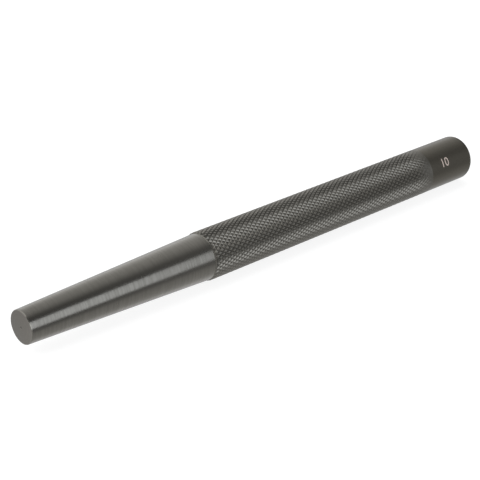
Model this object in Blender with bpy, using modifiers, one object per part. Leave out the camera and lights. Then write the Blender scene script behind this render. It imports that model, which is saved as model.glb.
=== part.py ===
"""Taper punch turned from one bar of tool steel.

Metres, +Z up. The punch lies along X with its tip towards -X and its head towards +X.
The origin is under the middle of its length, on the surface that it lies on.
"""

import math

import bpy

MM = 0.001

# Lengths along the axis, from the tip to the struck end
NOSE_LENGTH = 63 * MM
KNURL_LENGTH = 96 * MM
HEAD_LENGTH = 21 * MM

# Diameters
TIP_DIAMETER = 10 * MM
NOSE_END_DIAMETER = 14.4 * MM
KNURL_DIAMETER = 15 * MM
HEAD_DIAMETER = 14.9 * MM

# Broken edges and small turned features
TIP_CHAMFER = 0.3 * MM
STEP_CHAMFER = 0.4 * MM
KNURL_RUNOUT = 8 * MM
HEAD_EDGE_RADIUS = 2 * MM
CENTRE_MARK_DIAMETER = 0.8 * MM
CENTRE_MARK_DEPTH = 0.2 * MM

# Fineness of the round surfaces, with facets wide enough for the punch to lie on one
FACETS = 36
HEAD_EDGE_STEPS = 6
SHARP_ANGLE = math.radians(25)
AXIS_MERGE = 0.001 * MM

# Black-oxide finish
STEEL_COLOUR = (0.040, 0.039, 0.036, 1.0)
STEEL_ROUGHNESS = 0.35
STEEL_METALLIC = 1.0

KNURL_START = NOSE_LENGTH
KNURL_END = KNURL_START + KNURL_LENGTH
TOTAL_LENGTH = KNURL_END + HEAD_LENGTH
FACET_ANGLE = 2 * math.pi / FACETS
# The crests of the knurl carry the punch, on one of their flat facets.
AXIS_HEIGHT = KNURL_DIAMETER / 2 * math.cos(FACET_ANGLE / 2)


def clear_scene():
    for obj in list(bpy.data.objects):
        bpy.data.objects.remove(obj, do_unlink=True)


def new_collection(name):
    collection = bpy.data.collections.new(name)
    bpy.context.scene.collection.children.link(collection)
    return collection


def steel_material():
    material = bpy.data.materials.new("blackened_steel")
    material.use_nodes = True
    shader = material.node_tree.nodes["Principled BSDF"]
    shader.inputs["Base Color"].default_value = STEEL_COLOUR
    shader.inputs["Roughness"].default_value = STEEL_ROUGHNESS
    shader.inputs["Metallic"].default_value = STEEL_METALLIC
    return material


def head_outline():
    """(radius, distance from the tip) of the struck end, from its middle out round the edge."""
    head_radius = HEAD_DIAMETER / 2
    points = [(0, TOTAL_LENGTH)]
    for step in range(HEAD_EDGE_STEPS + 1):
        turn = math.pi / 2 * step / HEAD_EDGE_STEPS
        radius = head_radius - HEAD_EDGE_RADIUS * (1 - math.sin(turn))
        along = TOTAL_LENGTH - HEAD_EDGE_RADIUS * (1 - math.cos(turn))
        points.append((radius, along))
    points.append((head_radius, KNURL_END))
    return points


def knurl_outline():
    """The band over the knurl's crests, which sinks to the bar's own size where the knurl runs out."""
    knurl_radius = KNURL_DIAMETER / 2
    return [
        (knurl_radius, KNURL_END - KNURL_RUNOUT),
        (knurl_radius, KNURL_START + STEP_CHAMFER),
    ]


def nose_outline():
    """The taper from the step down to the tip, its broken edge, and the centre mark in the tip's face."""
    tip_radius = TIP_DIAMETER / 2
    growth = (NOSE_END_DIAMETER - TIP_DIAMETER) / 2 / NOSE_LENGTH
    return [
        (NOSE_END_DIAMETER / 2, NOSE_LENGTH),
        (tip_radius + growth * TIP_CHAMFER, TIP_CHAMFER),
        (tip_radius - TIP_CHAMFER, 0),
        (CENTRE_MARK_DIAMETER / 2, 0),
        (0, CENTRE_MARK_DEPTH),
    ]


def turned(name, outline, material, collection):
    """A solid turned about its own Z axis from an outline that runs down its outer side."""
    mesh = bpy.data.meshes.new(name)
    vertices = [(radius, 0, along) for radius, along in outline]
    edges = [(i, i + 1) for i in range(len(outline) - 1)]
    mesh.from_pydata(vertices, edges, [])
    obj = bpy.data.objects.new(name, mesh)
    collection.objects.link(obj)
    screw = obj.modifiers.new("turn", "SCREW")
    screw.axis = "Z"
    screw.angle = 2 * math.pi
    screw.steps = FACETS
    screw.render_steps = FACETS
    screw.use_merge_vertices = True
    screw.merge_threshold = AXIS_MERGE
    bpy.context.view_layer.objects.active = obj
    bpy.ops.object.modifier_apply(modifier=screw.name)
    mesh = obj.data
    mesh.shade_smooth()
    mesh.set_sharp_from_angle(angle=SHARP_ANGLE)
    mesh.materials.append(material)
    return obj


def axis_empty(collection):
    """The punch's axis, from the middle of the tip towards the head."""
    empty = bpy.data.objects.new("punch_axis", None)
    empty.location = (-TOTAL_LENGTH / 2, 0, AXIS_HEIGHT)
    empty.rotation_euler = (0, math.pi / 2, 0)
    collection.objects.link(empty)
    return empty


def main():
    clear_scene()
    collection = new_collection("taper_punch")
    outline = head_outline() + knurl_outline() + nose_outline()
    punch = turned("punch_bar", outline, steel_material(), collection)
    punch.parent = axis_empty(collection)
    # Half a facet of turn brings a flat facet underneath, so the punch lies still.
    punch.rotation_euler = (0, 0, FACET_ANGLE / 2)


main()
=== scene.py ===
"""Looks of a taper punch: one bar of blackened steel with a nose, a knurled grip and a head.

The bar lies along X with its tip at the low end. Sizes are in metres, worked out from millimetres, and
places along the bar are distances from the tip.
"""

from __future__ import annotations

import logging
import math
from collections.abc import Callable
from dataclasses import dataclass, field
from enum import Enum
from typing import Any

import bmesh
import bpy
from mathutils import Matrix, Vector

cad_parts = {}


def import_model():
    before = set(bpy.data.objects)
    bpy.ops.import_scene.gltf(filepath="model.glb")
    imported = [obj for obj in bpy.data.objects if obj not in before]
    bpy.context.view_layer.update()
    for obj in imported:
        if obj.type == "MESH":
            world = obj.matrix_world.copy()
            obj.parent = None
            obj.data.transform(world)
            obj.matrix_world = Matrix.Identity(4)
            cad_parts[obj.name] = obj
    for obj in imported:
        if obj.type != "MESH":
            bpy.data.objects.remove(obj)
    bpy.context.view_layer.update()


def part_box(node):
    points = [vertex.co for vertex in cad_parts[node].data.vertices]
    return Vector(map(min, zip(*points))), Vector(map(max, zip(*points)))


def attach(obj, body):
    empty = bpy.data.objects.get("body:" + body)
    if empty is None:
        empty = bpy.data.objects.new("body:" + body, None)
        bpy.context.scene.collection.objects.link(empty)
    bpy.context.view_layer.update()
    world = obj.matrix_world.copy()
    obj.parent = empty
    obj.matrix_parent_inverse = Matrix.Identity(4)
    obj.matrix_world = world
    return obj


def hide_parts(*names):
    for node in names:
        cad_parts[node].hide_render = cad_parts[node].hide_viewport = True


LOG = logging.getLogger("taper_punch")

MM = 0.001
NODE = "punch_bar"
BODY = "root"

# Two places closer than this along the bar are the same place.
SAME_PLACE = 0.01 * MM
# A face belongs to an end if more than this share of its normal points along the bar.
END_NORMAL = 0.9
# It is square to the bar if more than this share does.
SQUARE_NORMAL = 0.99

# Detail of every noise pattern.
NOISE_DETAIL = 2.0

HALF_TURN = 180
FULL_TURN = 360

# The sRGB curve: straight up to the break, and a power above it.
SRGB_BREAK = 0.04045
SRGB_SLOPE = 12.92
SRGB_OFFSET = 0.055
SRGB_POWER = 2.4


def linear(colour: str) -> tuple[float, float, float, float]:
    """Turns an sRGB hex colour to linear light.

    Args:
        colour: Six hex digits after a hash sign.

    Returns:
        Red, green, blue and an alpha of 1.
    """
    light = []
    for start in (1, 3, 5):
        channel = int(colour[start : start + 2], 16) / 255
        if channel <= SRGB_BREAK:
            light.append(channel / SRGB_SLOPE)
        else:
            light.append(((channel + SRGB_OFFSET) / (1 + SRGB_OFFSET)) ** SRGB_POWER)
    return (*light, 1.0)


def add_node(
    tree: bpy.types.NodeTree,
    kind: str,
    inputs: dict[str | int, Any] | None = None,
    **settings: Any,
) -> bpy.types.Node:
    """Adds a node with its settings, and fills or links its inputs.

    Args:
        tree: The node tree that takes the node.
        kind: The node's type name.
        inputs: A value, or an output socket to link from, for each input by name or number.
        **settings: Properties of the node.

    Returns:
        The new node.
    """
    node = tree.nodes.new(kind)
    for name, value in settings.items():
        setattr(node, name, value)
    for key, value in (inputs or {}).items():
        if isinstance(value, bpy.types.NodeSocket):
            tree.links.new(value, node.inputs[key])
        else:
            node.inputs[key].default_value = value
    return node


class Element(Enum):
    """The kinds of mesh element that are picked in edit mode."""

    POINT = "VERT"
    EDGE = "EDGE"
    FACE = "FACE"


def pick(kind: Element, test: Callable[[Any], bool]) -> None:
    """Selects the elements of the mesh in edit mode that pass a test, and no others.

    Args:
        kind: What to select.
        test: Says whether one bmesh vertex, edge or face is wanted.
    """
    bpy.ops.mesh.select_mode(type=kind.value)
    bpy.ops.mesh.select_all(action="DESELECT")
    data = bpy.context.edit_object.data
    mesh = bmesh.from_edit_mesh(data)
    elements = {Element.POINT: mesh.verts, Element.EDGE: mesh.edges, Element.FACE: mesh.faces}[kind]
    for element in elements:
        if test(element):
            element.select_set(True)
    mesh.select_flush_mode()
    bmesh.update_edit_mesh(data)


@dataclass(frozen=True)
class BarAxis:
    """The bar's centre line, which runs along X.

    Attributes:
        tip: X of the tip face.
        length: Length of the bar.
        height: Z of the centre line.
    """

    tip: float
    length: float
    height: float

    @classmethod
    def of_node(cls, node: str) -> BarAxis:
        """Reads the centre line from a CAD node's box.

        Args:
            node: The node's name.

        Returns:
            The axis of that node.
        """
        low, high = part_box(node)
        return cls(tip=low.x, length=high.x - low.x, height=(low.z + high.z) / 2)

    def along(self, distance: float) -> float:
        """Gives X at a distance from the tip."""
        return self.tip + distance

    def distance(self, point: Vector) -> float:
        """Gives a point's distance from the tip, along the bar."""
        return point.x - self.tip

    def radius(self, point: Vector) -> float:
        """Gives a point's distance from the centre line."""
        return math.hypot(point.y, point.z - self.height)

    def angle(self, point: Vector) -> float:
        """Gives a point's angle round the bar, from straight up."""
        return math.atan2(point.y, point.z - self.height)

    def outward(self, elevation: float) -> Vector:
        """Gives the direction square to the bar on its -Y side, at an elevation in degrees."""
        return Vector((0.0, -math.cos(math.radians(elevation)), math.sin(math.radians(elevation))))


class ToolMarks(Enum):
    """How a surface was worked, which sets the lay of its marks."""

    TURNED = "rings along the bar"
    FACED = "rings round the centre of an end"
    # The rolled flanks are painted darker towards the root, as painted shade in the grooves.
    ROLLED = "pressed flanks, dark at the root"
    GROUND = "an even fine grain"


@dataclass(frozen=True)
class BlackenedSteel:
    """Tool steel under a black oxide film, as one way of working leaves it.

    The film has little depth, so it takes its gloss from the cut below it. It reflects like a dark
    metal, a little warm, and it shines through paler where a tool mark stands proud. On the knurl its
    colour is painted darker from crest to root, as painted shade in the grooves.

    Attributes:
        name: The material's name.
        film: Colour of the film in the hollows of the tool marks, and on the knurl the darkest end of
            the painted groove shade.
        pale_tone_and_crest_light: Paler colour that the tool marks show, and on the knurl's crests the
            unshaded end of the painted groove shade.
        roughness: Middle roughness.
        roughness_spread: How far the marks take the roughness up and down.
        marks: The lay of the marks.
        spacing: Distance between marks.
        depth: Depth of the marks.
        edge_share: How much of a bare metal's glare is left where the surface turns edge-on.
    """

    name: str
    film: str
    pale_tone_and_crest_light: str
    roughness: float
    roughness_spread: float
    marks: ToolMarks
    spacing: float
    depth: float
    edge_share: float = 0.72

    # Marks of this many spacings fade in and out along their own lay.
    LAY_STRETCH = 14.0
    # The share of the crests' paleness over the painted groove shade that is left where the grooves
    # have run out, which paints the run-out darker.
    RUNOUT_CREST_LIGHT = 0.3
    # How much rougher the rolling leaves the surface where the grooves have run out.
    RUNOUT_DULL = 0.16

    def build(self, axis: BarAxis, knurl: DiamondKnurl) -> bpy.types.Material:
        """Makes the material.

        Args:
            axis: The bar's centre line, which centres the marks.
            knurl: Gives the crest and root between which a rolled flank darkens, as painted shade in
                the grooves.

        Returns:
            The new material.
        """
        material = bpy.data.materials.new(self.name)
        material.use_nodes = True
        tree = material.node_tree
        shader = tree.nodes["Principled BSDF"]
        shader.inputs["Metallic"].default_value = 1.0
        shader.inputs["Specular Tint"].default_value = (*3 * (self.edge_share,), 1.0)
        place = add_node(tree, "ShaderNodeTexCoord").outputs["Object"]
        centred = add_node(
            tree,
            "ShaderNodeMapping",
            {"Vector": place, "Location": (-axis.tip, 0.0, -axis.height)},
        ).outputs["Vector"]
        height = self._mark_height(tree, centred)
        gloss = add_node(
            tree,
            "ShaderNodeMapRange",
            {
                "Value": height,
                "To Min": self.roughness + self.roughness_spread,
                "To Max": self.roughness - self.roughness_spread,
            },
        )
        # The colour mix follows the marks' height; on the knurl it follows the painted groove shade,
        # darker towards the root.
        pale_share_and_groove_shade, dull = height, gloss.outputs["Result"]
        if self.marks is ToolMarks.ROLLED:
            left = self._grooves_left(tree, centred, knurl)
            pale_share_and_groove_shade = self._painted_groove_shade(tree, centred, knurl, left)
            extra = add_node(
                tree, "ShaderNodeMapRange", {"Value": left, "To Min": self.RUNOUT_DULL, "To Max": 0.0}
            )
            dull = add_node(
                tree, "ShaderNodeMath", {0: dull, 1: extra.outputs["Result"]}, operation="ADD"
            ).outputs["Value"]
        colour = add_node(
            tree,
            "ShaderNodeMix",
            {"Factor": pale_share_and_groove_shade, 6: linear(self.film), 7: linear(self.pale_tone_and_crest_light)},
            data_type="RGBA",
        )
        tree.links.new(colour.outputs[2], shader.inputs["Base Color"])
        tree.links.new(dull, shader.inputs["Roughness"])
        bump = add_node(
            tree,
            "ShaderNodeBump",
            {"Height": height, "Strength": 1.0, "Distance": self.depth},
        )
        tree.links.new(bump.outputs["Normal"], shader.inputs["Normal"])
        return material

    def _mark_height(
        self, tree: bpy.types.NodeTree, centred: bpy.types.NodeSocket
    ) -> bpy.types.NodeSocket:
        """Adds the pattern of the marks.

        Args:
            tree: The material's node tree.
            centred: Object coordinates from the centre of the tip.

        Returns:
            The height of the marks, from 0 to 1.
        """
        along = 1 / self.spacing
        across = along / self.LAY_STRETCH
        scale = (along, along, along)
        if self.marks is ToolMarks.TURNED:
            scale = (along, across, across)
        if self.marks is ToolMarks.FACED:
            reach = self._reach(tree, centred)
            centred = add_node(tree, "ShaderNodeCombineXYZ", {"X": reach}).outputs["Vector"]
        scaled = add_node(
            tree, "ShaderNodeMapping", {"Vector": centred, "Scale": scale}
        ).outputs["Vector"]
        noise = add_node(
            tree,
            "ShaderNodeTexNoise",
            {"Vector": scaled, "Scale": 1.0, "Detail": NOISE_DETAIL},
        )
        return noise.outputs["Fac"]

    def _reach(
        self, tree: bpy.types.NodeTree, centred: bpy.types.NodeSocket
    ) -> bpy.types.NodeSocket:
        """Adds the distance from the bar's centre line.

        Args:
            tree: The material's node tree.
            centred: Object coordinates from the centre of the tip.

        Returns:
            The distance, in metres.
        """
        flat = add_node(
            tree,
            "ShaderNodeVectorMath",
            {0: centred, 1: (0.0, 1.0, 1.0)},
            operation="MULTIPLY",
        ).outputs["Vector"]
        return add_node(tree, "ShaderNodeVectorMath", {0: flat}, operation="LENGTH").outputs["Value"]

    def _painted_groove_shade(
        self,
        tree: bpy.types.NodeTree,
        centred: bpy.types.NodeSocket,
        knurl: DiamondKnurl,
        left: bpy.types.NodeSocket,
    ) -> bpy.types.NodeSocket:
        """Adds the knurl's painted groove shade, which leaves it palest on its crests and darker at
        its roots and at its end.

        Args:
            tree: The material's node tree.
            centred: Object coordinates from the centre of the tip.
            knurl: Gives the radius of root and crest.
            left: How much is left of the grooves.

        Returns:
            0 at the root, rising to 1 at the crest.
        """
        share = add_node(
            tree,
            "ShaderNodeMapRange",
            {
                "Value": self._reach(tree, centred),
                "From Min": knurl.root_radius,
                "From Max": knurl.crest_radius,
            },
        )
        kept = add_node(
            tree, "ShaderNodeMapRange", {"Value": left, "To Min": self.RUNOUT_CREST_LIGHT, "To Max": 1.0}
        )
        both = add_node(
            tree,
            "ShaderNodeMath",
            {0: share.outputs["Result"], 1: kept.outputs["Result"]},
            operation="MULTIPLY",
        )
        return both.outputs["Value"]

    def _grooves_left(
        self,
        tree: bpy.types.NodeTree,
        centred: bpy.types.NodeSocket,
        knurl: DiamondKnurl,
    ) -> bpy.types.NodeSocket:
        """Adds how much is left of the grooves, as they run out towards the head.

        Args:
            tree: The material's node tree.
            centred: Object coordinates from the centre of the tip.
            knurl: Gives where the grooves run out.

        Returns:
            1 along the full knurl, falling to 0 at its end.
        """
        along = add_node(tree, "ShaderNodeSeparateXYZ", {"Vector": centred}).outputs["X"]
        left = add_node(
            tree,
            "ShaderNodeMapRange",
            {
                "Value": along,
                "From Min": knurl.end - knurl.runout,
                "From Max": knurl.end,
                "To Min": 1.0,
                "To Max": 0.0,
            },
        )
        return left.outputs["Result"]


@dataclass(frozen=True)
class EtchedSteel:
    """A pale matt mark burnt through the black film, with the dull bare steel showing as a speckle.

    Attributes:
        name: The material's name.
        pale: Colour of the burnt steel.
        dull: Colour where the film is left between the strokes.
        speckle: Size of the speckle.
        roughness: Roughness of the burnt steel.
        metallic: How much of it reflects as metal.
    """

    name: str
    pale: str
    dull: str
    speckle: float
    roughness: float
    metallic: float

    def build(self) -> bpy.types.Material:
        """Makes the material.

        Returns:
            The new material.
        """
        material = bpy.data.materials.new(self.name)
        material.use_nodes = True
        tree = material.node_tree
        shader = tree.nodes["Principled BSDF"]
        shader.inputs["Metallic"].default_value = self.metallic
        shader.inputs["Roughness"].default_value = self.roughness
        place = add_node(tree, "ShaderNodeTexCoord").outputs["Object"]
        noise = add_node(
            tree,
            "ShaderNodeTexNoise",
            {"Vector": place, "Scale": 1 / self.speckle, "Detail": NOISE_DETAIL},
        )
        colour = add_node(
            tree,
            "ShaderNodeMix",
            {"Factor": noise.outputs["Fac"], 6: linear(self.dull), 7: linear(self.pale)},
            data_type="RGBA",
        )
        tree.links.new(colour.outputs[2], shader.inputs["Base Color"])
        return material


@dataclass
class DiamondKnurl:
    """A rolled diamond knurl, with grooves of both hands and flat-topped diamonds between them.

    Attributes:
        start: Distance of the first row from the tip.
        end: Distance of the last row.
        starts: Grooves of each hand round the bar.
        pitch: Distance along the bar from groove to groove of one hand.
        crest_radius: Radius of the flat tops.
        start_radius: Radius of the plain ring that the grooves start from.
        end_radius: Radius of the plain ring that the grooves run out to.
        flank_rise: Rise of a flank from a crossing to the point where four flanks would meet.
        flat_share: Share of that rise that the flat top takes off.
        runout: Length over which the grooves fade out before the end.
    """

    start: float = 62.95 * MM
    end: float = 159.0 * MM
    starts: int = 36
    pitch: float = 2.13 * MM
    crest_radius: float = 7.5 * MM
    start_radius: float = 7.35 * MM
    end_radius: float = 7.47 * MM
    flank_rise: float = 0.36 * MM
    flat_share: float = 0.4
    runout: float = 7.0 * MM

    @property
    def columns(self) -> int:
        """Gives the count of points round the bar, a crest and a crossing for each groove."""
        return 2 * self.starts

    @property
    def rows(self) -> int:
        """Gives the count of steps along the bar, two for each pitch."""
        return round(2 * (self.end - self.start) / self.pitch)

    @property
    def row_step(self) -> float:
        """Gives the distance from row to row."""
        return (self.end - self.start) / self.rows

    @property
    def full_rows(self) -> int:
        """Gives the number of the last row of full depth."""
        return self.rows - math.ceil(self.runout / self.row_step)

    @property
    def root_radius(self) -> float:
        """Gives the radius of the grooves at their full depth."""
        return self.crest_radius - self.flank_rise * (1 - self.flat_share)

    def place(self, row: float) -> float:
        """Gives the distance of a row from the tip."""
        return self.start + row * self.row_step

    def fade(self, row: float) -> float:
        """Gives how far the grooves have faded at a row, from 0 to 1."""
        return max(0.0, (row - self.full_rows) / (self.rows - self.full_rows))

    def root(self, row: float) -> float:
        """Gives the radius of the grooves at a row."""
        return self.root_radius + (self.end_radius - self.root_radius) * self.fade(row)

    def flat(self, row: float) -> float:
        """Gives the share of the flanks' rise that the flat tops take off at a row."""
        top = self.crest_radius + (self.end_radius - self.crest_radius) * self.fade(row)
        return 1 - (top - self.root(row)) / self.flank_rise

    def is_crest(self, row: int, angle: float) -> bool:
        """Tells whether a point of a row is the middle of a diamond, and not a crossing."""
        column = angle / math.tau * self.columns
        return (round(column) + row) % 2 == 1


@dataclass
class PunchBar:
    """The whole punch, turned from one bar.

    Attributes:
        axis: The bar's centre line.
        knurl: The rolled grip.
        tip_radius: Radius of the nose at the tip.
        nose_radius: Radius that the taper reaches where the grip starts.
        tip_chamfer: Edge broken off the tip.
        tip_chamfer_steps: Facets of that edge.
        relief_length: Length of the shallow relief turned at the end of the nose.
        relief_radius: Radius at the bottom of the relief.
        step_length: Length of the chamfer from the relief up to the grip.
        blend: Length over which a long straight face rounds into the next.
        head_radius: Radius of the head.
        head_step: Length of the chamfer from the grip down to the head.
        head_edge: Radius of the head's rounded edge.
        head_edge_steps: Facets of that edge.
        mark_radius: Radius of the centre mark in the tip.
        mark_depth: Depth of the centre mark.
        sharp_angle: Edges that turn more than this many degrees stay sharp.
        piece: The mesh object, once it is begun.
    """

    axis: BarAxis
    knurl: DiamondKnurl
    tip_radius: float = 5.0 * MM
    nose_radius: float = 7.2 * MM
    tip_chamfer: float = 0.3 * MM
    tip_chamfer_steps: int = 2
    relief_length: float = 0.06 * MM
    relief_radius: float = 7.16 * MM
    step_length: float = 0.2 * MM
    blend: float = 0.2 * MM
    head_radius: float = 7.45 * MM
    head_step: float = 0.25 * MM
    head_edge: float = 2.0 * MM
    head_edge_steps: int = 10
    mark_radius: float = 0.4 * MM
    mark_depth: float = 0.2 * MM
    sharp_angle: float = 25.0
    piece: bpy.types.Object | None = field(default=None, init=False)

    def build(self) -> bpy.types.Object:
        """Models the bar and dresses it.

        Returns:
            The finished piece.
        """
        self._start_grip()
        self._turn_nose()
        self._face_tip()
        self._form_head()
        self._roll_diamonds()
        self._flatten_crests()
        self._dress()
        return self.piece

    def _on_ring(self, distance: float) -> Callable[[bmesh.types.BMEdge], bool]:
        """Gives a test for edges that run round the bar at a distance from the tip."""
        place = self.axis.along(distance)
        return lambda edge: all(abs(v.co.x - place) < SAME_PLACE for v in edge.verts)

    def _resize(self, ratio: float) -> None:
        """Draws the selection towards the centre line, or away from it."""
        bpy.ops.transform.resize(
            value=(1.0, ratio, ratio), center_override=(0.0, 0.0, self.axis.height)
        )

    def _extrude_ring(self, start: float, end: float, ratio: float) -> None:
        """Extrudes an open end of the bar to a new place and size.

        Args:
            start: Distance from the tip of the ring that is extruded.
            end: Distance of the new ring.
            ratio: The new ring's radius by the old one's.
        """
        pick(Element.EDGE, self._on_ring(start))
        bpy.ops.mesh.extrude_region_move(
            TRANSFORM_OT_translate={"value": (end - start, 0.0, 0.0)}
        )
        if ratio != 1.0:
            self._resize(ratio)

    def _start_grip(self) -> None:
        """Adds the grip as an open cylinder at its crests and cuts it into rows."""
        knurl = self.knurl
        bpy.ops.object.select_all(action="DESELECT")
        bpy.ops.mesh.primitive_cylinder_add(
            vertices=knurl.columns,
            radius=knurl.crest_radius,
            depth=knurl.end - knurl.start,
            end_fill_type="NOTHING",
            location=(self.axis.along((knurl.start + knurl.end) / 2), 0.0, self.axis.height),
            rotation=(0.0, math.pi / 2, 0.0),
        )
        self.piece = bpy.context.object
        self.piece.name = "turned_punch"
        bpy.ops.object.transform_apply(location=True, rotation=True, scale=True)
        bpy.ops.object.mode_set(mode="EDIT")
        pick(Element.EDGE, lambda edge: abs(edge.verts[0].co.x - edge.verts[1].co.x) > SAME_PLACE)
        bpy.ops.mesh.subdivide(number_cuts=knurl.rows - 1)

    def _turn_nose(self) -> None:
        """Turns the chamfer below the first diamonds, the shallow relief and the taper to the tip."""
        knurl = self.knurl
        pick(Element.EDGE, self._on_ring(knurl.start))
        self._resize(knurl.start_radius / knurl.crest_radius)
        step = knurl.start - self.step_length
        self._extrude_ring(knurl.start, step, self.relief_radius / knurl.start_radius)
        relief = step - self.relief_length
        self._extrude_ring(step, relief, self._taper(relief) / self.relief_radius)
        straight = relief - self.blend
        self._extrude_ring(relief, straight, self._taper(straight) / self._taper(relief))
        edge = self.tip_chamfer + self.blend
        self._extrude_ring(straight, edge, self._taper(edge) / self._taper(straight))
        self._extrude_ring(edge, 0.0, self.tip_radius / self._taper(edge))

    def _taper(self, distance: float) -> float:
        """Gives the radius of the nose at a distance from the tip."""
        return self.tip_radius + (self.nose_radius - self.tip_radius) * distance / self.knurl.start

    def _face_tip(self) -> None:
        """Closes the tip, breaks its edge and leaves the small centre mark."""
        pick(Element.EDGE, self._on_ring(0.0))
        bpy.ops.mesh.edge_face_add()
        pick(Element.EDGE, self._on_ring(0.0))
        bpy.ops.mesh.bevel(
            offset=self.tip_chamfer, segments=self.tip_chamfer_steps, affect="EDGES"
        )
        bpy.ops.mesh.select_all(action="SELECT")
        bpy.ops.mesh.normals_make_consistent(inside=False)
        pick(Element.FACE, lambda face: face.normal.x < -SQUARE_NORMAL)
        bpy.ops.mesh.inset(thickness=self.tip_radius - self.tip_chamfer - self.mark_radius)
        bpy.ops.mesh.poke(offset=-self.mark_depth)

    def _form_head(self) -> None:
        """Draws the last ring in to the plain bar, extrudes the head and rounds its edge."""
        knurl = self.knurl
        pick(Element.EDGE, self._on_ring(knurl.end))
        self._resize(knurl.end_radius / knurl.crest_radius)
        neck = knurl.end + self.head_step
        self._extrude_ring(knurl.end, neck, self.head_radius / knurl.end_radius)
        edge = self.axis.length - self.head_edge - self.blend
        self._extrude_ring(neck, edge, 1.0)
        self._extrude_ring(edge, self.axis.length, 1.0)
        bpy.ops.mesh.edge_face_add()
        pick(Element.EDGE, self._on_ring(self.axis.length))
        bpy.ops.mesh.bevel(
            offset=self.head_edge, segments=self.head_edge_steps, affect="EDGES"
        )
        for distance in (knurl.end, neck):
            pick(Element.EDGE, self._on_ring(distance))
            bpy.ops.mesh.mark_sharp()

    def _pick_row(self, row: float, crests: bool) -> None:
        """Selects points of the grip in one row.

        Args:
            row: Number of the row, where a half stands for the middles of the grooves.
            crests: Whether to select the middles of the diamonds, or else the points in the grooves.
        """
        knurl, axis = self.knurl, self.axis
        place = knurl.place(row)

        def wanted(point: bmesh.types.BMVert) -> bool:
            """Tells whether a point belongs to the row, and is of the kind asked for.

            Args:
                point: A point of the mesh.

            Returns:
                Whether to select it.
            """
            if abs(axis.distance(point.co) - place) > SAME_PLACE:
                return False
            middle = row == int(row) and knurl.is_crest(int(row), axis.angle(point.co))
            return middle is crests

        pick(Element.POINT, wanted)

    def _roll_diamonds(self) -> None:
        """Pokes the grip's faces, presses the grooves down and draws the diamonds up between them."""
        knurl, axis = self.knurl, self.axis
        low, high = axis.along(knurl.start), axis.along(knurl.end)
        pick(Element.FACE, lambda face: low < face.calc_center_median().x < high)
        bpy.ops.mesh.poke()
        for half_row in range(1, 2 * knurl.rows):
            row = half_row / 2
            self._pick_row(row, crests=False)
            self._resize(knurl.root(row) / knurl.crest_radius)
            if half_row % 2 == 0:
                self._pick_row(row, crests=True)
                self._resize((knurl.root(row) + knurl.flank_rise) / knurl.crest_radius)

    def _flatten_crests(self) -> None:
        """Cuts the diamonds off flat, the more the further the grooves have run out."""
        for row in range(1, self.knurl.rows):
            self._pick_row(row, crests=True)
            bpy.ops.mesh.bevel(
                offset_type="PERCENT",
                offset_pct=100 * self.knurl.flat(row),
                segments=1,
                affect="VERTICES",
            )
        bpy.ops.mesh.select_all(action="SELECT")
        bpy.ops.mesh.normals_make_consistent(inside=False)

    def _dress(self) -> None:
        """Gives each worked surface its finish and smooths what is round."""
        axis, knurl = self.axis, self.knurl
        shoulder = axis.along(knurl.start - self.step_length)
        grip_end = axis.along(knurl.end)

        def is_end(face: bmesh.types.BMFace) -> bool:
            """Tells whether a face is on the tip or the striking face."""
            inside = axis.radius(face.calc_center_median()) < self.tip_radius
            return inside and abs(face.normal.x) > END_NORMAL

        zones: list[tuple[BlackenedSteel, Callable[[Any], bool]]] = [
            (TURNED_NOSE, lambda face: face.calc_center_median().x < shoulder),
            (ROLLED_GRIP, lambda face: shoulder < face.calc_center_median().x < grip_end),
            (GROUND_HEAD, lambda face: face.calc_center_median().x > grip_end),
            (FACED_END, is_end),
        ]
        for index, (finish, test) in enumerate(zones):
            self.piece.data.materials.append(finish.build(axis, knurl))
            self.piece.active_material_index = index
            pick(Element.FACE, test)
            bpy.ops.object.material_slot_assign()
        bpy.ops.object.mode_set(mode="OBJECT")
        bpy.ops.object.shade_smooth_by_angle(angle=math.radians(self.sharp_angle))


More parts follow.
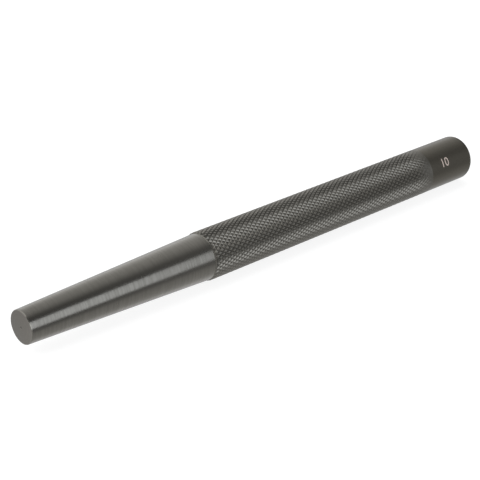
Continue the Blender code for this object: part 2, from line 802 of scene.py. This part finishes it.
@dataclass
class SizeMark:
    """The plain size number etched on the head.

    Attributes:
        axis: The bar's centre line.
        bar: The piece that the number is etched on.
        bar_radius: The head's radius.
        number: The tip's size in millimetres.
        middle: Distance of the number's middle from the tip.
        elevation: Where it stands round the bar, in degrees above the horizon on the -Y side.
        digit_height: Height of the digits.
        digit_width: Width of the digits, as a share of the font's own.
        slices: Strips that the digits are cut into, to follow the round of the bar.
        film: How far the mark stands off the bar.
        thickness: Thickness of the mark.
    """

    axis: BarAxis
    bar: bpy.types.Object
    bar_radius: float
    number: str = "10"
    middle: float = 165.8 * MM
    elevation: float = 28.0
    digit_height: float = 2.9 * MM
    digit_width: float = 0.95
    slices: int = 14
    film: float = 0.012 * MM
    thickness: float = 0.03 * MM

    # Blender's own font draws a digit at this share of the text size.
    DIGIT_SHARE = 0.69

    def build(self) -> bpy.types.Object:
        """Writes the number, lays it on the head and gives it a little thickness.

        Returns:
            The finished piece.
        """
        axis = self.axis
        stand_off = self.bar_radius + self.digit_height
        place = Vector((axis.along(self.middle), 0.0, axis.height))
        bpy.ops.object.select_all(action="DESELECT")
        bpy.ops.object.text_add(
            location=place + stand_off * axis.outward(self.elevation),
            rotation=(math.radians(90 - self.elevation), 0.0, 0.0),
        )
        mark = bpy.context.object
        mark.name = "size_mark"
        mark.data.body = self.number
        mark.data.size = self.digit_height / self.DIGIT_SHARE
        mark.data.align_x = "CENTER"
        mark.data.align_y = "CENTER"
        mark.scale.x = self.digit_width
        bpy.ops.object.convert(target="MESH")
        self._slice()
        self._lay_on_bar(mark)
        bpy.ops.object.transform_apply(location=True, rotation=True, scale=True)
        mark.data.materials.append(ETCHED_NUMBER.build())
        return mark

    def _slice(self) -> None:
        """Cuts the flat digits into strips along the bar."""
        axis = self.axis
        middle = Vector((0.0, 0.0, axis.height))
        middle += (self.bar_radius + self.digit_height) * axis.outward(self.elevation)
        upward = axis.outward(self.elevation + 90)
        bpy.ops.object.mode_set(mode="EDIT")
        for index in range(1, self.slices):
            offset = (index / self.slices - 0.5) * self.digit_height
            bpy.ops.mesh.select_all(action="SELECT")
            bpy.ops.mesh.bisect(plane_co=middle + offset * upward, plane_no=upward)
        bpy.ops.object.mode_set(mode="OBJECT")

    def _lay_on_bar(self, mark: bpy.types.Object) -> None:
        """Wraps the digits on the head and thickens them.

        Args:
            mark: The flat digits, whose own Z points out of the head.
        """
        wrap = mark.modifiers.new("wrap", "SHRINKWRAP")
        wrap.target = self.bar
        wrap.wrap_method = "PROJECT"
        wrap.use_project_z = True
        wrap.use_positive_direction = False
        wrap.use_negative_direction = True
        wrap.offset = self.film
        shell = mark.modifiers.new("shell", "SOLIDIFY")
        shell.thickness = self.thickness
        shell.offset = -1.0
        for modifier in ("wrap", "shell"):
            bpy.ops.object.modifier_apply(modifier=modifier)


@dataclass
class Studio:
    """A pale floor, a large softbox, a room with a dark gap behind the camera, and the camera.

    Attributes:
        axis: The bar's centre line.
        floor_height: Z of the floor.
        floor_side: Side of the floor.
        floor_glow: The part of the floor's white that takes no shadow.
        floor_paper: Lightness of the floor's paper.
        box_elevation: Elevation of the softbox above the bar, in degrees.
        box_swing: Its swing from straight in front towards the head, in degrees.
        box_distance: Its distance.
        box_width: Its width.
        box_height: Its height.
        box_radiance: How bright it is, where 1 is white.
        box_colour: Its colour.
        gap_left: Swing towards the head, in degrees, over which the room turns dark.
        gap_right: The same on the far side of the gap, over which it turns pale again.
        far_right: The same past the head, over which it turns to the far wall.
        gap_levels: Elevations in degrees, and how bright the gap is there, where 1 is white.
        room_levels: The same for the room before the gap, on the tip's side.
        end_levels: The same for the room after the gap, on the head's side.
        far_levels: The same for the far wall, past the head.
        aim: Distance from the tip of the point that the camera looks at.
        aim_offset: Y of that point.
        camera_azimuth: Swing of the camera, in degrees.
        camera_elevation: Its elevation, in degrees.
        camera_distance: Its distance from that point.
        lens: Focal length in millimetres, on a 36 mm frame.
    """

    axis: BarAxis
    floor_height: float
    floor_side: float = 6.0
    floor_glow: float = 0.83
    floor_paper: float = 0.26
    box_elevation: float = 18.0
    box_swing: float = 7.0
    box_distance: float = 1.2
    box_width: float = 1.2
    box_height: float = 0.85
    box_radiance: float = 2.35
    box_colour: str = "#f1f6fe"
    gap_left: tuple[float, float] = (10.0, 18.0)
    gap_right: tuple[float, float] = (18.0, 60.0)
    far_right: tuple[float, float] = (46.0, 55.0)
    gap_levels: tuple[tuple[float, float], ...] = (
        (-180, 1.3),
        (-167, 0.8),
        (-127, 0.82),
        (-97, 1.35),
        (-79, 1.08),
        (-63, 1.0),
        (-34, 0.85),
        (-14, 0.25),
        (48, 0.15),
        (66, 0.22),
        (81, 0.6),
        (97, 0.87),
        (129, 1.12),
        (150, 1.55),
        (166, 1.7),
        (180, 1.3),
    )
    room_levels: tuple[tuple[float, float], ...] = (
        (-180, 1.2),
        (-167, 0.7),
        (-127, 0.9),
        (-97, 1.4),
        (-50, 1.0),
        (38, 1.0),
        (46, 0.4),
        (76, 0.4),
        (88, 2.1),
        (120, 2.1),
        (150, 1.7),
        (166, 1.7),
        (180, 1.2),
    )
    end_levels: tuple[tuple[float, float], ...] = (
        (-180, 1.0),
        (-167, 0.5),
        (-127, 0.9),
        (-97, 1.4),
        (-50, 1.0),
        (-20, 0.7),
        (55, 0.7),
        (90, 1.05),
        (110, 1.5),
        (150, 2.0),
        (166, 2.0),
        (180, 1.0),
    )
    far_levels: tuple[tuple[float, float], ...] = (
        (-180, 1.0),
        (-127, 1.0),
        (-50, 1.0),
        (-20, 0.7),
        (45, 0.7),
        (62, 0.3),
        (118, 0.3),
        (150, 0.55),
        (170, 1.0),
        (180, 1.0),
    )
    aim: float = 79.41 * MM
    aim_offset: float = 0.65 * MM
    camera_azimuth: float = -42.5
    camera_elevation: float = 25.39
    camera_distance: float = 0.4131
    lens: float = 103.0

    def build(self) -> None:
        """Sets the whole studio up."""
        self._set_view()
        self._lay_floor()
        self._hang_softbox()
        self._light_room()
        self._place_camera()

    def _set_view(self) -> None:
        """Shows colours as they are written."""
        bpy.context.scene.view_settings.view_transform = "Standard"

    def _direction(self, elevation: float, swing: float) -> Vector:
        """Gives a direction from the bar.

        Args:
            elevation: Degrees above the horizon on the -Y side.
            swing: Degrees from square to the bar, towards the head.

        Returns:
            A vector of length 1.
        """
        turn = math.radians(swing)
        return math.cos(turn) * self.axis.outward(elevation) + Vector((math.sin(turn), 0.0, 0.0))

    def _lay_floor(self) -> None:
        """Lays white paper that the camera sees as white, with a faint shadow on it."""
        bpy.ops.object.select_all(action="DESELECT")
        bpy.ops.mesh.primitive_plane_add(size=self.floor_side, location=(0.0, 0.0, self.floor_height))
        bpy.ops.object.transform_apply(location=True, rotation=True, scale=True)
        floor = bpy.context.object
        floor.name = "studio_floor"
        floor.visible_glossy = False
        material = bpy.data.materials.new("white_paper")
        material.use_nodes = True
        tree = material.node_tree
        tree.nodes.clear()
        paper = add_node(tree, "ShaderNodeBsdfDiffuse", {"Color": (*3 * (self.floor_paper,), 1.0)})
        seen = add_node(tree, "ShaderNodeLightPath").outputs["Is Camera Ray"]
        strength = add_node(
            tree, "ShaderNodeMath", {0: seen, 1: self.floor_glow}, operation="MULTIPLY"
        )
        glow = add_node(tree, "ShaderNodeEmission", {"Strength": strength.outputs["Value"]})
        both = add_node(
            tree, "ShaderNodeAddShader", {0: paper.outputs["BSDF"], 1: glow.outputs["Emission"]}
        )
        add_node(tree, "ShaderNodeOutputMaterial", {"Surface": both.outputs["Shader"]})
        floor.data.materials.append(material)

    def _hang_softbox(self) -> None:
        """Hangs the softbox in front of the bar, facing it."""
        direction = self._direction(self.box_elevation, self.box_swing)
        light = bpy.data.lights.new("softbox", "AREA")
        light.shape = "RECTANGLE"
        light.size = self.box_width
        light.size_y = self.box_height
        light.color = linear(self.box_colour)[:3]
        light.energy = self.box_radiance * math.pi * self.box_width * self.box_height
        lamp = bpy.data.objects.new("softbox", light)
        lamp.location = Vector((0.0, 0.0, self.axis.height)) + self.box_distance * direction
        lamp.rotation_euler = direction.to_track_quat("Z", "Y").to_euler()
        lamp.visible_camera = False
        bpy.context.scene.collection.objects.link(lamp)

    def _light_room(self) -> None:
        """Makes a pale room with a dark gap in front, which the camera sees as white all round.

        The steel shows the gap as its dark band. Past the head the room ends in a dim wall, which the
        flanks of the knurl show.
        """
        world = bpy.data.worlds.new("white_room")
        world.use_nodes = True
        tree = world.node_tree
        tree.nodes.clear()
        way = add_node(tree, "ShaderNodeTexCoord").outputs["Generated"]
        part = add_node(tree, "ShaderNodeSeparateXYZ", {"Vector": way}).outputs
        front = add_node(tree, "ShaderNodeMath", {0: part["Y"], 1: -1.0}, operation="MULTIPLY")
        elevation = add_node(
            tree,
            "ShaderNodeMath",
            {0: part["Z"], 1: front.outputs["Value"]},
            operation="ARCTAN2",
        ).outputs["Value"]
        swing = add_node(tree, "ShaderNodeMath", {0: part["X"]}, operation="ARCSINE").outputs["Value"]
        room = self._add_levels(tree, elevation, self.room_levels)
        gap = self._add_levels(tree, elevation, self.gap_levels)
        into_gap = self._add_fade(tree, swing, self.gap_left, room, gap)
        end = self._add_levels(tree, elevation, self.end_levels)
        beside = self._add_fade(tree, swing, self.gap_right, into_gap, end)
        far = self._add_levels(tree, elevation, self.far_levels)
        level = self._add_fade(tree, swing, self.far_right, beside, far)
        seen = add_node(tree, "ShaderNodeLightPath").outputs["Is Camera Ray"]
        strength = add_node(tree, "ShaderNodeMath", {0: level, 1: seen}, operation="MAXIMUM")
        walls = add_node(
            tree,
            "ShaderNodeBackground",
            {"Color": (1.0, 1.0, 1.0, 1.0), "Strength": strength.outputs["Value"]},
        )
        add_node(tree, "ShaderNodeOutputWorld", {"Surface": walls.outputs["Background"]})
        bpy.context.scene.world = world

    def _add_fade(
        self,
        tree: bpy.types.NodeTree,
        swing: bpy.types.NodeSocket,
        stretch: tuple[float, float],
        before: bpy.types.NodeSocket,
        after: bpy.types.NodeSocket,
    ) -> bpy.types.NodeSocket:
        """Adds a soft change from one brightness to another as the swing grows.

        Args:
            tree: The world's node tree.
            swing: The swing towards the head, in radians.
            stretch: Where the change starts and ends, in degrees.
            before: The brightness up to its start.
            after: The brightness from its end.

        Returns:
            The brightness.
        """
        start, end = (math.radians(degrees) for degrees in stretch)
        share = add_node(
            tree,
            "ShaderNodeMapRange",
            {"Value": swing, "From Min": start, "From Max": end},
            interpolation_type="SMOOTHSTEP",
        )
        mix = add_node(
            tree, "ShaderNodeMix", {"Factor": share.outputs["Result"], 2: before, 3: after}
        )
        return mix.outputs[0]

    def _add_levels(
        self,
        tree: bpy.types.NodeTree,
        elevation: bpy.types.NodeSocket,
        levels: tuple[tuple[float, float], ...],
    ) -> bpy.types.NodeSocket:
        """Adds a brightness that changes with the elevation.

        Args:
            tree: The world's node tree.
            elevation: The elevation, in radians.
            levels: Elevations in degrees, and the brightness at each.

        Returns:
            The brightness.
        """
        turn = add_node(
            tree,
            "ShaderNodeMapRange",
            {"Value": elevation, "From Min": -math.pi, "From Max": math.pi},
        )
        brightest = max(brightness for _, brightness in levels)
        ramp = add_node(tree, "ShaderNodeValToRGB", {"Fac": turn.outputs["Result"]})
        stops = ramp.color_ramp.elements
        stops.remove(stops[-1])
        for degrees, brightness in levels:
            grey = brightness / brightest
            stops.new((degrees + HALF_TURN) / FULL_TURN).color = (grey, grey, grey, 1.0)
        stops.remove(stops[0])
        scaled = add_node(
            tree, "ShaderNodeMath", {0: ramp.outputs["Color"], 1: brightest}, operation="MULTIPLY"
        )
        return scaled.outputs["Value"]

    def _place_camera(self) -> None:
        """Places the camera where the photograph was taken from."""
        azimuth = math.radians(self.camera_azimuth)
        elevation = math.radians(self.camera_elevation)
        back = Vector(
            (
                math.sin(azimuth) * math.cos(elevation),
                -math.cos(azimuth) * math.cos(elevation),
                math.sin(elevation),
            )
        )
        target = Vector((self.axis.along(self.aim), self.aim_offset, self.axis.height))
        data = bpy.data.cameras.new("portrait_camera")
        data.lens = self.lens
        camera = bpy.data.objects.new("portrait_camera", data)
        camera.location = target + self.camera_distance * back
        camera.rotation_euler = (math.pi / 2 - elevation, 0.0, azimuth)
        bpy.context.scene.collection.objects.link(camera)
        bpy.context.scene.camera = camera


# A lathe leaves rings of about 0.1 mm on the nose, which shine as fine streaks across its light strip.
# They are drawn coarser here, so that they show.
TURNED_NOSE = BlackenedSteel(
    name="black_oxide_turned_steel",
    film="#5a5853",
    pale_tone_and_crest_light="#6d6b66",
    roughness=0.24,
    roughness_spread=0.07,
    marks=ToolMarks.TURNED,
    spacing=0.55 * MM,
    depth=0.002 * MM,
    edge_share=0.9,
)

# A pair of knurling wheels presses the diamonds up. Their grooves are painted darker than their tops,
# as painted shade, and the pressed grain is drawn coarser than it is, so that it shows.
ROLLED_GRIP = BlackenedSteel(
    name="black_oxide_rolled_steel",
    film="#5b5954",
    pale_tone_and_crest_light="#64625d",
    roughness=0.28,
    roughness_spread=0.05,
    marks=ToolMarks.ROLLED,
    spacing=0.3 * MM,
    depth=0.004 * MM,
)

# Grinding leaves the head even and a little more matt than the nose, so its film looks darker. The
# grit's marks are drawn coarser than they are, so that they show.
GROUND_HEAD = BlackenedSteel(
    name="black_oxide_ground_steel",
    film="#4d4a44",
    pale_tone_and_crest_light="#58554e",
    roughness=0.3,
    roughness_spread=0.05,
    marks=ToolMarks.GROUND,
    spacing=0.5 * MM,
    depth=0.002 * MM,
)

# A facing cut leaves rings round the centre of both ends, and a flat paler grey. The rings are drawn
# coarser than they are, so that they show.
FACED_END = BlackenedSteel(
    name="black_oxide_faced_steel",
    film="#76736e",
    pale_tone_and_crest_light="#817e79",
    roughness=0.3,
    roughness_spread=0.05,
    marks=ToolMarks.FACED,
    spacing=0.35 * MM,
    depth=0.002 * MM,
)

# The number is burnt through the film, down to matt pale steel.
ETCHED_NUMBER = EtchedSteel(
    name="etched_steel",
    pale="#d2c2b8",
    dull="#9c8f87",
    speckle=0.3 * MM,
    roughness=0.55,
    metallic=0.4,
)


def main() -> None:
    """Builds the punch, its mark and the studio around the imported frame."""
    logging.basicConfig(level=logging.INFO)
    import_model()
    axis = BarAxis.of_node(NODE)
    knurl = DiamondKnurl()
    punch = PunchBar(axis, knurl)
    bar = punch.build()
    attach(bar, BODY)
    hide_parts(NODE)
    LOG.info("%s: %d faces", bar.name, len(bar.data.polygons))
    mark = SizeMark(axis, bar, punch.head_radius).build()
    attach(mark, BODY)
    LOG.info("%s: %d faces", mark.name, len(mark.data.polygons))
    Studio(axis, floor_height=axis.height - knurl.crest_radius).build()


if __name__ == "__main__":
    main()
